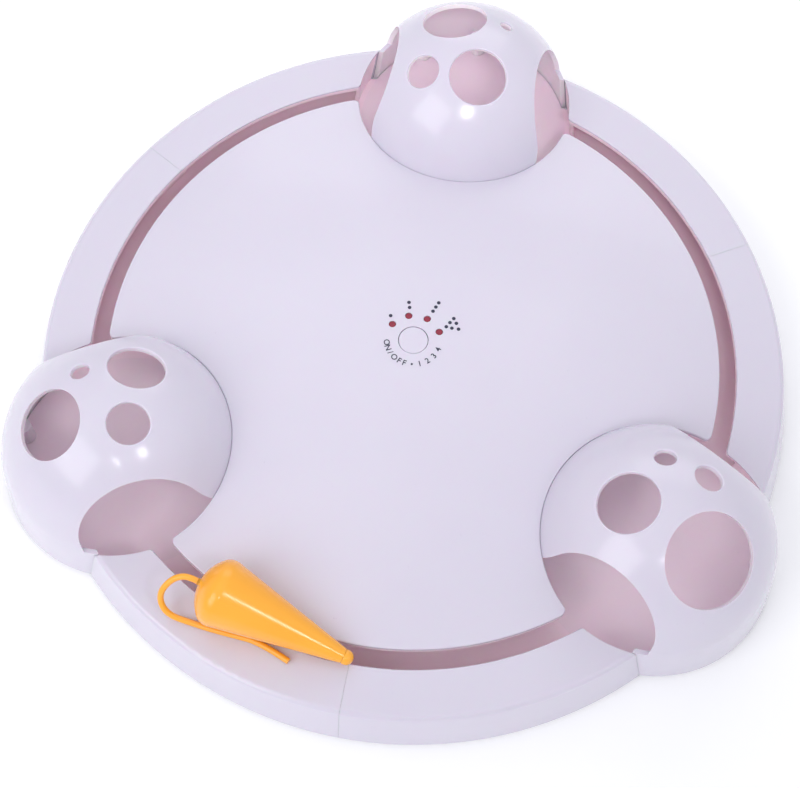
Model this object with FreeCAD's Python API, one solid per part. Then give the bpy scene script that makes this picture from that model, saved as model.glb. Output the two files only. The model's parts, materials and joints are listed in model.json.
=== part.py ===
import FreeCAD, Part
import math
import os

# Automatic hide-and-chase cat toy: a ring-shaped base with three hole-pierced hiding domes, a crowned play deck
# with a slot all round it, and a motor-driven arm below the deck that carries a mouse along the slot.
# Millimetres. The toy stands on Z = 0, the arm turns about Z, and the first dome lies towards +Y.

V = FreeCAD.Vector
UP = V(0, 0, 1)

# General sizes
wall = 2.2                     # moulded wall of the ring and the domes
floor_gap = 1.2                # height of the underside above the table, which is the thickness of a foot
floor_wall = 2.0               # floor of the ring and the core
fit = 0.3                      # gap round a piece that drops into another
running = 0.05                 # radial clearance of a turning or sliding fit
screw_play = 0.03              # radial clearance of a screw in its hole

# Ring
foot_radius = 185.0            # outside of the ring at its foot
rim_edge_radius = 179.0        # outside of the ring at its top, before the edge is rounded
rim_height = 25.6
rim_rounding = 3.2
lip_depth = 3.4                # short lip along the slot
lip_rounding = 0.8
slot_width = 8.6
seam_gap = 0.05                # joint between two ring sectors

# Play deck
deck_radius = 148.0
deck_edge_height = 27.1
deck_crown = 10.0              # rise of the deck from its edge to its middle
deck_wall = 2.5
deck_skirt = 4.4               # height of the deck's edge band
corner_rounding = 2.5          # where the slot runs into a dome's pit
deck_pit_radius = 55.7         # round opening in the deck for a dome
rim_pit_radius = 55.35         # round end of the rim beside a dome

# Domes
dome_angles = {"a": 90.0, "b": 210.0, "c": 330.0}
dome_reach = 147.0             # distance of a dome's axis from the middle of the toy
dome_radius = 55.5             # sphere that the dome is cut from
dome_height = 73.9             # top of the dome above the table
dome_flare = 7.0               # slope of the dome's skirt
dome_gap = 0.25                # gap between the dome's skirt and the ring's walls
arch_radius = 29.6             # archway for the mouse, seen along the slot
arch_offset = -0.3             # middle of the archway from the dome's axis, outwards
arch_spring = 31.3             # height where the archway's round top starts
arch_flare = 25.0              # slope of the archway's side towards the deck
sill_height = 25.4             # the skirt is left this high beside the end of the rim
sill_reach = 23.4              # distance outwards from the dome's axis where that part starts
hole_rounding = 0.7
dome_post_radius = 4.0
dome_post_reach = 51.0         # screw posts inside the dome's outer wall
dome_post_spread = 34.0        # angle between two screw posts
dome_post_height = 16.0

# Paw and peep holes of the domes: turn about the dome's axis from straight outwards, rise, diameter
dome_holes = {
    "a": ((27.0, 67.0, 32.6), (-40.0, 62.0, 6.2), (127.0, 63.0, 17.0), (-152.0, 72.0, 28.3)),
    "b": ((-2.5, 62.3, 33.0), (-75.0, 68.0, 8.8), (-142.0, 63.0, 26.2), (125.0, 74.0, 19.2)),
    "c": ((-14.5, 58.3, 43.0), (79.0, 67.0, 13.2), (134.0, 65.0, 9.8), (-146.0, 69.0, 28.3)),
}

# Core and rotor
gear_module = 1.0              # last stage
middle_module = 0.8
first_module = 0.6
ring_teeth = 128
last_pinion_teeth = 15
middle_wheel_teeth = 40
middle_pinion_teeth = 12
first_wheel_teeth = 48
motor_pinion_teeth = 12
backlash = 0.16
pressure_angle = 20.0
ring_gear_face = 6.0
ring_gear_back = 4.8           # plastic behind the ring's teeth
ring_flange = 2.8              # thickness of the rotor's lower flange
ring_seat_height = 9.6         # height at which the rotor glides
journal_depth = 2.2            # from the tips of the ring's teeth to the core wall that guides the rotor
core_wall = 2.2
core_wall_height = 19.4
rail_width = 3.0
rail_offset = 3.0              # glide rail from the journal
core_margin = 6.0              # core floor beyond the glide rail

# Gear positions
last_gear_angle = -90.0
middle_gear_bearing = 47.7     # direction from the last gear's axis to the middle gear's
motor_bearing = 150.0          # direction from the middle gear's axis to the motor's
axle_radius = 1.0
middle_level = 20.0            # underside of the middle stage
first_level = 23.2             # underside of the first stage
wheel_face = 2.4
gear_plate_level = 26.2
gear_plate_wall = 2.0
gear_post_radius = 3.2

# Motor
motor_radius = 12.2
motor_length = 12.3
motor_base = 4.7
motor_shaft_radius = 1.0
motor_shaft_length = 8.9
motor_boss_radius = 3.1
motor_boss_height = 1.2
motor_cup_height = 8.0
bracket_wall = 1.6

# Batteries
cell_radius = 7.25
cell_length = 49.2
cell_nipple_radius = 2.7
cell_nipple_length = 1.3
cell_pitch = 14.75
cell_count = 3
bay_length = 55.2              # inside, along the cells
bay_wall = 1.6
bay_height = 19.0
bay_offset = 4.8               # inside of the bay from the middle of the toy
door_pin_radius = 0.7
door_pin_length = 1.2
door_tab_width = 8.0
door_tab_reach = 0.8
spring_wire = 0.3              # radius of the wire
spring_base_radius = 5.0
spring_tip_radius = 2.2
spring_turns = 2.5
contact_wall = 0.3

# Board, button and lights
board_length = 42.0
board_width = 34.0
board_offset = 3.0
board_level = 26.4
board_wall = 1.6
button_radius = 7.0
button_hole_radius = 7.3
button_flange_radius = 8.8
button_flange_wall = 1.3
button_flange_drop = 0.4       # gap between the flange and the deck's underside
button_travel = 0.6
switch_size = 6.0
switch_height = 3.5
plunger_radius = 1.7
plunger_height = 1.0
light_count = 4
light_ring_radius = 13.2
light_spacing = 40.0
light_radius = 1.7
light_window_radius = 1.8
light_length = 5.3

# Arm
arm_angle = 257.0
arm_root_width = 24.0
arm_tip_width = 12.0
arm_base = 13.05
arm_top = 17.5
arm_plate = 2.2
arm_rib = 2.0
arm_end_margin = 6.0           # arm beyond the peg
lug_length = 14.0
wheel_reach = 130.0            # support wheel of the arm
wheel_radius = 5.5
wheel_width = 4.0
wheel_tyre = 1.2
peg_radius = 2.5
peg_top = 36.5
peg_post_radius = 4.5
peg_post_top = 21.0

# Mouse
mouse_radius = 16.2
mouse_taper = 11.8             # slope of the cone's side, so that its lowest line lies level
mouse_rear = 9.0               # bulge of the rear
mouse_edge = 7.0
mouse_tip_edge = 0.5
nose_radius = 3.5
nose_neck = 1.2                # from the blunt tip of the cone to the middle of the nose
mouse_wall = 2.2
mouse_clearance = 0.5          # lowest line of the mouse above the deck's edge
mouse_rear_reach = 153.0       # rear of the cone from the middle of the toy
mouse_rear_angle = 246.1
mouse_nose_reach = 155.2
mouse_nose_angle = 269.4
socket_wall = 2.2

# Tail, a moulded cord: its points lie along its middle line
tail_diameter = 2.9
tail_root_length = 0.8
tail_rest = 0.35               # gap between the tail and the rim

# Screws
screw_radius = 1.5
screw_head_radius = 2.9
screw_head_height = 1.8
deck_screw_length = 16.0
deck_screw_level = 10.0
short_screw_length = 7.5
small_screw_radius = 1.1
small_head_radius = 2.1
small_head_height = 1.4
post_radius = 3.7

# Feet
foot_pad_radius = 7.0
middle_foot_radius = 4.4

# Values that follow from the sizes above
rim_inner_radius = deck_radius + slot_width
slot_radius = deck_radius + slot_width / 2
dome_centre = dome_height - dome_radius
floor_top = floor_gap + floor_wall
crown_radius = (deck_radius ** 2 + deck_crown ** 2) / (2 * deck_crown)
crown_centre = deck_edge_height + deck_crown - crown_radius
skirt_base = deck_edge_height - deck_skirt
ring_pitch = gear_module * ring_teeth / 2
ring_tip = ring_pitch - 0.8 * gear_module
ring_root = ring_pitch + 1.25 * gear_module
rotor_radius = ring_root + ring_gear_back
journal_radius = ring_tip - journal_depth
ring_gear_base = ring_seat_height + ring_flange
ring_gear_top = ring_gear_base + ring_gear_face
rail_radius = journal_radius + rail_offset
core_radius = rail_radius + rail_width + core_margin
window_half = gear_module * (last_pinion_teeth / 2 + 1) + 1.2


def deck_top(radius):
    """Height of the deck's crowned face at a distance from its middle."""
    return crown_centre + math.sqrt(crown_radius ** 2 - radius ** 2)


def deck_under(radius):
    """Height of the deck's underside at a distance from its middle."""
    return crown_centre + math.sqrt((crown_radius - deck_wall) ** 2 - radius ** 2)


def polar(radius, angle):
    """Plan position at a distance and a direction in degrees."""
    return radius * math.cos(math.radians(angle)), radius * math.sin(math.radians(angle))


def beside(place, distance, bearing):
    """Plan position at a distance and a bearing from another."""
    x, y = polar(distance, bearing)
    return place[0] + x, place[1] + y


def cyl(radius, low, high, place=(0, 0)):
    return Part.makeCylinder(radius, high - low, V(place[0], place[1], low))


def tube(inner, outer, low, high, place=(0, 0)):
    return cyl(outer, low, high, place).cut(cyl(inner, low - 1, high + 1, place))


def box(x0, x1, y0, y1, z0, z1):
    return Part.makeBox(x1 - x0, y1 - y0, z1 - z0, V(x0, y0, z0))


def cone(radius0, radius1, low, high, place=(0, 0)):
    return Part.makeCone(radius0, radius1, high - low, V(place[0], place[1], low))


def fuse(shapes):
    return shapes[0].multiFuse(shapes[1:]).removeSplitter()


def turned(shape, angle, centre=(0, 0)):
    out = shape.copy()
    out.rotate(V(centre[0], centre[1], 0), UP, angle)
    return out


def moved(shape, x, y, z=0):
    out = shape.copy()
    out.translate(V(x, y, z))
    return out


def face_of(points, rounding=None, upright=True):
    """A face with straight sides through points, its listed corners rounded. Upright faces stand in the XZ plane."""
    rounding = rounding or {}
    corners = [V(x, 0, y) if upright else V(x, y, 0) for x, y in points]
    count = len(corners)
    starts, ends, arcs = [], [], []
    for i, corner in enumerate(corners):
        back = (corners[i - 1] - corner).normalize()
        ahead = (corners[(i + 1) % count] - corner).normalize()
        radius = rounding.get(i, 0)
        if not radius:
            starts.append(corner)
            ends.append(corner)
            arcs.append(None)
            continue
        half = back.getAngle(ahead) / 2
        reach = radius / math.tan(half)
        middle = corner + (back + ahead).normalize() * (radius / math.sin(half) - radius)
        starts.append(corner + back * reach)
        ends.append(corner + ahead * reach)
        arcs.append(middle)
    edges = []
    for i in range(count):
        if arcs[i]:
            edges.append(Part.Arc(starts[i], arcs[i], ends[i]).toShape())
        edges.append(Part.LineSegment(ends[i], starts[(i + 1) % count]).toShape())
    return Part.Face(Part.Wire(edges))


def tangent_arc(start, corner, end):
    """The arc that rounds a corner between two points equally far from it, and its radius."""
    back, ahead = start - corner, end - corner
    half_turn = (math.pi - back.getAngle(ahead)) / 2
    radius = back.Length / math.tan(half_turn)
    inward = (back + ahead).normalize()
    middle = corner + inward * (radius / math.cos(half_turn) - radius)
    return Part.Arc(start, middle, end).toShape(), radius


def spun(face, angle=360.0, start=0.0):
    """An upright face turned about Z."""
    return turned(face.revolve(V(0, 0, 0), UP, angle), start)


def save(name, shape):
    shape.exportStep("parts/" + name + ".step")


# Ring sectors

def dome_outer(gap, low):
    """The dome's outer form on the +X side, grown by a gap, down to a height."""
    radius = dome_radius + gap
    slope = math.radians(dome_flare)
    top = V(0, 0, dome_centre + radius)
    shoulder = V(radius * math.cos(slope), 0, dome_centre + radius * math.sin(slope))
    half_way = math.radians((90 + dome_flare) / 2)
    middle = V(radius * math.cos(half_way), 0, dome_centre + radius * math.sin(half_way))
    foot = V(shoulder.x + (shoulder.z - low) * math.tan(slope), 0, low)
    axis_foot = V(0, 0, low)
    edges = [
        Part.Arc(top, middle, shoulder).toShape(),
        Part.LineSegment(shoulder, foot).toShape(),
        Part.LineSegment(foot, axis_foot).toShape(),
        Part.LineSegment(axis_foot, top).toShape(),
    ]
    solid = spun(Part.Face(Part.Wire(edges)))
    return moved(solid, dome_reach, 0)


def skirt_radius(height, gap=0.0):
    """Outer radius of the dome's skirt at a height."""
    slope = math.radians(dome_flare)
    shoulder_height = dome_centre + (dome_radius + gap) * math.sin(slope)
    return (dome_radius + gap) * math.cos(slope) + (shoulder_height - height) * math.tan(slope)


def wall_radius(height):
    """Outside of the ring's sloping wall at a height."""
    share = (height - floor_gap) / (rim_height - floor_gap)
    return foot_radius + (rim_edge_radius - foot_radius) * share


def rounded_pit(radius, low, high):
    """The slot and the dome's pit on the +X side as one opening, with rounded corners where they meet."""
    slot = tube(deck_radius, rim_inner_radius, low, high)
    pit = cyl(radius, low, high, (dome_reach, 0))
    opening = slot.fuse(pit).removeSplitter()
    corners = [
        e for e in opening.Edges
        if abs(e.Vertexes[0].X - e.Vertexes[-1].X) < 1e-6 and abs(e.Vertexes[0].Y - e.Vertexes[-1].Y) < 1e-6
        and e.Length > 0.9 * (high - low) and abs(e.Vertexes[0].Y) > 0.5 * radius
    ]
    return opening.makeFillet(corner_rounding, corners)


dome_post_places = [
    beside((dome_reach, 0), dome_post_reach, k * dome_post_spread) for k in (-1, 0, 1)
]
tongue_places = [polar(core_radius + 8.0, k) for k in (-25.0, 25.0)]
sector_half = 60.0 - math.degrees(seam_gap / 2 / slot_radius)
joiner_reach = rim_inner_radius + 9.0
joiner_width = 12.0
joiner_length = 10.0
lobe_start = sill_reach - 2.0


def countersink(place):
    """A flush screw's hole through the floor."""
    hole = cyl(screw_radius + screw_play, floor_gap - 1, floor_top + 1, place)
    head = cone(
        screw_head_radius + screw_play, screw_radius + screw_play, floor_gap, floor_gap + screw_head_height, place)
    below = cyl(screw_head_radius + screw_play, floor_gap - 1, floor_gap, place)
    return [hole, head, below]


def ring_sector():
    """One third of the ring, with its dome towards +X."""
    inner_top = rim_height - wall
    section = face_of(
        [
            (rim_inner_radius - 30.0, floor_top), (rim_inner_radius - 30.0, floor_gap),
            (foot_radius, floor_gap), (rim_edge_radius, rim_height), (rim_inner_radius, rim_height),
            (rim_inner_radius, rim_height - lip_depth), (rim_inner_radius + wall, rim_height - lip_depth),
            (rim_inner_radius + wall, inner_top), (wall_radius(inner_top) - wall, inner_top),
            (wall_radius(floor_top) - wall, floor_top),
        ],
        {3: rim_rounding, 4: lip_rounding},
    )
    ring = spun(section, 2 * sector_half, -sector_half)
    upper = ring.cut(box(0, 400, -400, 400, floor_gap - 1, floor_top))
    upper = upper.cut(dome_outer(dome_gap, -1.0)).cut(rounded_pit(rim_pit_radius, floor_top, rim_height + 5))
    hollow = face_of([
        (rim_inner_radius + 6.0, floor_top), (wall_radius(floor_top) - wall / 2, floor_top),
        (wall_radius(inner_top) - wall / 2, inner_top + wall / 2), (rim_inner_radius + 6.0, inner_top + wall / 2),
    ])
    end_walls = dome_outer(dome_gap + wall, -1.0).cut(dome_outer(dome_gap, -2.0))
    end_walls = end_walls.common(spun(hollow, 2 * sector_half, -sector_half))
    plate_section = face_of([
        (core_radius + fit, floor_gap), (foot_radius, floor_gap),
        (wall_radius(floor_top), floor_top), (core_radius + fit, floor_top),
    ])
    plate = spun(plate_section, 2 * sector_half, -sector_half)
    under_dome = cyl(skirt_radius(floor_top) - wall - fit, floor_gap, floor_top, (dome_reach, 0))
    skirt_slot = dome_outer(dome_gap, -1.0).cut(
        cyl(skirt_radius(floor_top) - wall - fit, -2, dome_height, (dome_reach, 0)))
    skirt_slot = skirt_slot.common(
        box(dome_reach + lobe_start, dome_reach + 100, -100, 100, floor_gap - 1, floor_top))
    joiner = box(
        joiner_reach, joiner_reach + joiner_width, -joiner_length, joiner_length, floor_top + running,
        floor_top + floor_wall)
    joiner_root = box(
        joiner_reach, joiner_reach + joiner_width, -joiner_length, -fit, floor_top - running, floor_top + floor_wall)
    sector = fuse([upper, *[s for s in end_walls.Solids if s.Volume > 1.0], plate, under_dome])
    sector = sector.cut(skirt_slot)
    sector = fuse([sector, turned(joiner, 60.0), turned(joiner_root, 60.0)])
    for place in dome_post_places + tongue_places:
        sector = sector.cut(countersink(place)[0]).cut(countersink(place)[1]).cut(countersink(place)[2])
    return sector


# Domes

def archway():
    """The mouse's way through the dome on the +X side, along the slot."""
    slope = math.radians(arch_flare)
    side = V(-arch_radius * math.cos(slope), 0, arch_radius * math.sin(slope))
    base = -arch_spring - 5.0
    low = V(side.x + (base - side.z) * math.tan(slope), 0, base)
    far = V(arch_radius, 0, 0)
    far_sill = V(arch_radius, 0, sill_height - arch_spring)
    near_sill = V(sill_reach - arch_offset, 0, far_sill.z)
    near_low = V(near_sill.x, 0, base)
    corners = [far, far_sill, near_sill, near_low, low, side]
    edges = [Part.LineSegment(corners[i], corners[i + 1]).toShape() for i in range(len(corners) - 1)]
    edges.append(Part.Arc(side, V(0, 0, arch_radius), far).toShape())
    face = Part.Face(Part.Wire(edges))
    way = face.extrude(V(0, 4 * dome_radius, 0))
    return moved(way, dome_reach + arch_offset, -2 * dome_radius, arch_spring)


def hiding_dome(holes):
    """A dome towards +X with its holes."""
    inner = dome_outer(-wall, floor_gap - 1)
    shell = dome_outer(0.0, floor_gap).cut(inner)
    shell = shell.cut(archway())
    lobe_clearance = box(0, dome_reach + arch_offset, -100, 100, 0, skirt_base)
    shell = shell.cut(lobe_clearance)
    centre = V(dome_reach, 0, dome_centre)
    for turn, rise, diameter in holes:
        across, up = polar(1.0, rise)
        x, y = polar(across, turn)
        shell = shell.cut(Part.makeCylinder(diameter / 2, dome_radius + 10, centre, V(x, y, up)))
    rims = []
    for e in shell.Edges:
        if e.Closed and not e.Degenerated and e.BoundBox.ZMin > arch_spring:
            if all(abs(p.sub(centre).Length - dome_radius) < 0.01 for p in e.discretize(12)):
                rims.append(e)
    shell = shell.makeFillet(hole_rounding, rims)
    posts = []
    for place in dome_post_places:
        post = cyl(dome_post_radius, floor_top + 0.02, dome_post_height, place)
        posts.append(post.common(dome_outer(-wall / 2, 0.0)))
    shell = fuse([shell, *posts])
    for place in dome_post_places:
        shell = shell.cut(cyl(screw_radius + screw_play, 0, floor_gap + short_screw_length + 1.0, place))
    return shell


# Play deck

deck_post_places = [(36.5, 41.0), (-36.5, 41.0), (-42.0, -35.0), (47.0, -27.0)]
board_post_places = [
    (sx * (board_length / 2 - 3.5), board_offset + sy * (board_width / 2 - 3.5)) for sx in (-1, 1) for sy in (-1, 1)
]
light_places = [
    polar(light_ring_radius, 90.0 + (k - (light_count - 1) / 2) * light_spacing) for k in range(light_count)
]
hold_down_angles = [angle + 60.0 * side for angle in (90.0,) for side in (-1, 1)] + [210.0, 330.0]


def crowned(radius, drop, low):
    """A disc with the deck's crowned top, lowered by a drop."""
    disc = cyl(radius, low, deck_edge_height + deck_crown)
    ball = Part.makeSphere(crown_radius - drop, V(0, 0, crown_centre))
    return disc.common(ball)


def play_deck():
    outside = crowned(deck_radius, 0.0, skirt_base)
    inside = crowned(deck_radius - wall, deck_wall, skirt_base - 1)
    for angle in dome_angles.values():
        pit = rounded_pit(deck_pit_radius, skirt_base - 1, deck_edge_height + deck_crown)
        outside = outside.cut(turned(pit, angle))
        x, y = polar(dome_reach, angle)
        inside = inside.cut(cyl(deck_pit_radius + wall, skirt_base - 2, deck_edge_height + deck_crown, (x, y)))
    deck = outside.cut(inside)
    crown = V(0, 0, crown_centre)
    solid_edges = [e for e in deck.Edges if not e.Degenerated]
    top_edges = [
        e for e in solid_edges if all(abs(p.sub(crown).Length - crown_radius) < 0.01 for p in e.discretize(5))
    ]
    deck = deck.makeFillet(lip_rounding, top_edges)
    adds = []
    for place in deck_post_places:
        adds.append(cyl(post_radius, core_wall_height + running, deck_under(60.0) + 1.5, place))
    for place in board_post_places:
        adds.append(cyl(gear_post_radius, board_level + board_wall, deck_under(20.0) + 1.0, place))
    for angle in hold_down_angles:
        rib = tube(rail_radius + 1.0, rail_radius + 1.0 + wall, ring_gear_top + 0.2, deck_under(rail_radius) + 1.0)
        wedge = turned(box(rail_radius - 5, rail_radius + 12, -12, 12, 0, 60), angle)
        adds.append(rib.common(wedge))
    guide = tube(
        button_flange_radius + fit, button_flange_radius + fit + 1.1, deck_under(0) - 2.4, deck_under(12.0) + 0.5)
    adds.append(guide)
    deck = fuse([deck, *adds])
    deck = deck.cut(cyl(button_hole_radius, skirt_base, deck_top(0) + 5))
    for place in light_places:
        deck = deck.cut(cyl(light_window_radius, skirt_base, deck_top(0) + 5, place))
    for place in deck_post_places:
        high = deck_screw_level + deck_screw_length + 1.0
        deck = deck.cut(cyl(screw_radius + screw_play, core_wall_height - 5, high, place))
    for place in board_post_places:
        deck = deck.cut(cyl(small_screw_radius + screw_play, board_level, board_level + board_wall + 4.5, place))
    return deck


# Gears

def gear_outline(teeth, module, addendum, dedendum, play):
    """Involute teeth, the first centred on +X. A negative play cuts wider gaps, for a ring's inside."""
    pitch = module * teeth / 2
    base = pitch * math.cos(math.radians(pressure_angle))
    tip = pitch + addendum * module
    root = pitch - dedendum * module
    half_pitch = math.pi / (2 * teeth) - play / (2 * pitch)

    def involute(radius):
        angle = math.acos(min(1.0, base / radius))
        return math.tan(angle) - angle

    def half_angle(radius):
        return half_pitch + involute(pitch) - involute(max(radius, base))

    def at(radius, angle):
        return V(radius * math.cos(angle), radius * math.sin(angle), 0)

    start = max(base, root)
    middle = (start + tip) / 2
    edges = []
    for k in range(teeth):
        centre = 2 * math.pi * k / teeth
        following = centre + 2 * math.pi / teeth
        low, mid, top = half_angle(start), half_angle(middle), half_angle(tip)
        if root < start:
            edges.append(Part.LineSegment(at(root, centre - low), at(start, centre - low)).toShape())
        edges.append(Part.Arc(at(start, centre - low), at(middle, centre - mid), at(tip, centre - top)).toShape())
        edges.append(Part.Arc(at(tip, centre - top), at(tip, centre), at(tip, centre + top)).toShape())
        edges.append(Part.Arc(at(tip, centre + top), at(middle, centre + mid), at(start, centre + low)).toShape())
        if root < start:
            edges.append(Part.LineSegment(at(start, centre + low), at(root, centre + low)).toShape())
        gap_middle = (centre + following) / 2
        edges.append(Part.Arc(at(root, centre + low), at(root, gap_middle), at(root, following - low)).toShape())
    return Part.Face(Part.Wire(edges))


def spur(teeth, module, low, high, place, tooth_direction):
    """A spur gear with a tooth centred in a direction."""
    blank = gear_outline(teeth, module, 0.95, 1.2, backlash / 2).extrude(V(0, 0, high - low))
    return moved(turned(blank, tooth_direction), place[0], place[1], low)


last_gear_place = polar(ring_pitch - gear_module * last_pinion_teeth / 2, last_gear_angle)
middle_distance = middle_module * (middle_wheel_teeth + middle_pinion_teeth) / 2
first_distance = first_module * (first_wheel_teeth + motor_pinion_teeth) / 2
middle_gear_place = beside(last_gear_place, middle_distance, middle_gear_bearing)
motor_place = beside(middle_gear_place, first_distance, motor_bearing)
gear_post_places = [(-20.0, -48.0), (33.0, -40.0), (-24.0, -22.0), (25.0, -22.0)]
bracket_reach = motor_radius + 5.4
bracket_post_places = [beside(motor_place, bracket_reach, k) for k in (15.0, 195.0)]


def gear_b():
    """Compound gear that drives the rotor's ring."""
    pinion = spur(
        last_pinion_teeth, gear_module, ring_gear_base + 0.3, ring_gear_top - 0.1, last_gear_place, last_gear_angle)
    wheel = spur(
        middle_wheel_teeth, middle_module, middle_level, middle_level + wheel_face, last_gear_place,
        middle_gear_bearing)
    hub = cyl(3.0, ring_gear_base + 0.3, gear_plate_level - running, last_gear_place)
    gear = fuse([pinion, wheel, hub])
    return gear.cut(cyl(axle_radius + running, 0, 60, last_gear_place))


def gear_a():
    """Compound gear between the motor and the last gear."""
    pinion_turn = middle_gear_bearing + 180.0 + 180.0 / middle_pinion_teeth
    pinion = spur(
        middle_pinion_teeth, middle_module, middle_level, first_level, middle_gear_place, pinion_turn)
    wheel = spur(
        first_wheel_teeth, first_module, first_level, first_level + wheel_face, middle_gear_place, motor_bearing)
    hub = cyl(2.6, first_level, gear_plate_level - running, middle_gear_place)
    gear = fuse([pinion, wheel, hub])
    return gear.cut(cyl(axle_radius + running, 0, 60, middle_gear_place))


def motor_pinion():
    turn = motor_bearing + 180.0 + 180.0 / motor_pinion_teeth
    pinion = spur(
        motor_pinion_teeth, first_module, first_level - 0.3, first_level + wheel_face, motor_place, turn)
    return pinion.cut(cyl(motor_shaft_radius, 0, 60, motor_place))


# Core tray

bay_low = bay_offset
bay_high = bay_offset + cell_count * cell_pitch
door_axis_y = bay_high - fit - floor_wall / 2
cell_axis = floor_top + 0.1 + cell_radius
cell_rows = [bay_low + (k + 0.5) * cell_pitch for k in range(cell_count)]
tongue_half = 6.0


def core_tray():
    floor = cyl(core_radius, floor_gap, floor_top)
    ring_wall = tube(journal_radius - core_wall, journal_radius, floor_gap, core_wall_height)
    rail = tube(rail_radius, rail_radius + rail_width, floor_gap, ring_seat_height - running)
    half = bay_length / 2
    bay = box(
        -half - bay_wall, half + bay_wall, bay_low - bay_wall, bay_high + bay_wall, floor_gap,
        bay_height + bay_wall)
    shapes = [floor, ring_wall, rail, bay.common(cyl(journal_radius - running, 0, 60))]
    for place in deck_post_places:
        shapes.append(cyl(post_radius, floor_gap, core_wall_height, place))
    for place in gear_post_places:
        shapes.append(cyl(gear_post_radius, floor_gap, gear_plate_level, place))
    for place in bracket_post_places:
        shapes.append(cyl(gear_post_radius, floor_gap, motor_base + motor_length + running, place))
    shapes.append(cyl(gear_post_radius, floor_gap, middle_level - 0.1, middle_gear_place))
    shapes.append(cyl(gear_post_radius, floor_gap, ring_gear_base + 0.2, last_gear_place))
    shapes.append(cyl(motor_radius + running + 1.5, floor_gap, floor_top + motor_cup_height, motor_place))
    for angle in dome_angles.values():
        for side in (-25.0, 25.0):
            arm = box(rail_radius + rail_width - 1, core_radius + 12, -tongue_half, tongue_half,
                      floor_top + running, floor_top + floor_wall)
            root = box(rail_radius + rail_width - 1, core_radius - 1.0, -tongue_half, tongue_half,
                       floor_gap, floor_top + floor_wall)
            boss = cyl(post_radius, floor_top + running, 8.0, (core_radius + 8.0, 0))
            shapes.append(turned(fuse([arm, root, boss]), angle + side))
    tray = fuse(shapes)
    tray = tray.cut(cyl(motor_radius + running, motor_base, 60, motor_place))
    tray = tray.cut(box(-half, half, bay_low, bay_high, 0, bay_height))
    window = box(-window_half, window_half, -journal_radius - 2, -journal_radius + 9, ring_gear_base + 0.2, 60)
    tray = tray.cut(turned(window, last_gear_angle + 90.0))
    for place in deck_post_places:
        tray = tray.cut(cyl(screw_head_radius + 0.3, 0, deck_screw_level, place))
        tray = tray.cut(cyl(screw_radius + 0.3, 0, 60, place))
    for place in gear_post_places + bracket_post_places:
        tray = tray.cut(cyl(small_screw_radius + screw_play, floor_top + 4, 60, place))
    for place in (middle_gear_place, last_gear_place):
        tray = tray.cut(cyl(axle_radius + screw_play, floor_top, 60, place))
    for angle in dome_angles.values():
        for side in (-25.0, 25.0):
            place = polar(core_radius + 8.0, angle + side)
            tray = tray.cut(cyl(screw_radius + screw_play, floor_top, 60, place))
    for side in (-1, 1):
        x0 = half - 0.01 if side > 0 else -half - door_pin_length - running
        x1 = half + door_pin_length + running if side > 0 else -half + 0.01
        pin = Part.makeCylinder(
            door_pin_radius + running, x1 - x0, V(x0, door_axis_y, floor_gap + floor_wall / 2), V(1, 0, 0))
        tray = tray.cut(pin)
    notch = box(
        -door_tab_width / 2 - fit, door_tab_width / 2 + fit, bay_low - door_tab_reach - fit, bay_low + 0.01,
        floor_gap - 1, floor_top + fit)
    return tray.cut(notch)


def battery_door():
    half = bay_length / 2 - fit
    round_end = floor_wall / 2
    plate = box(-half, half, bay_low + fit, door_axis_y, floor_gap, floor_top)
    end = Part.makeCylinder(round_end, 2 * half, V(-half, door_axis_y, floor_gap + round_end), V(1, 0, 0))
    pins = Part.makeCylinder(
        door_pin_radius, 2 * (bay_length / 2 + door_pin_length),
        V(-bay_length / 2 - door_pin_length, door_axis_y, floor_gap + round_end), V(1, 0, 0))
    tab = box(
        -door_tab_width / 2, door_tab_width / 2, bay_low - door_tab_reach, bay_low + fit + 0.01, floor_top - 1.0,
        floor_top)
    grip = [
        Part.makeCylinder(0.5, 24.0, V(-12, bay_low + 4.0 + 2.4 * k, floor_gap), V(1, 0, 0)) for k in range(4)
    ]
    door = fuse([plate, end, pins, tab])
    for groove in grip:
        door = door.cut(groove)
    return door


# Batteries and contacts

def battery_cell(row):
    body = face_of([(0, 0), (cell_radius, 0), (cell_radius, cell_length), (0, cell_length)],
                   {1: 0.6, 2: 0.8})
    cell = fuse([spun(body), cyl(cell_nipple_radius, cell_length - 0.1, cell_length + cell_nipple_length)])
    cell.rotate(V(0, 0, 0), V(0, 1, 0), 90)
    cell = moved(cell, -cell_length / 2 - 0.6, 0)
    if row % 2:
        cell.rotate(V(0, 0, 0), UP, 180)
    return moved(cell, 0, cell_rows[row], cell_axis)


def contact_plate(row, side):
    """A sheet contact against a bay wall, at one end of a cell."""
    half = bay_length / 2
    x1 = side * half
    x0 = x1 - side * contact_wall
    return box(min(x0, x1), max(x0, x1), cell_rows[row] - 5.5, cell_rows[row] + 5.5, cell_axis - 5, cell_axis + 5)


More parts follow.
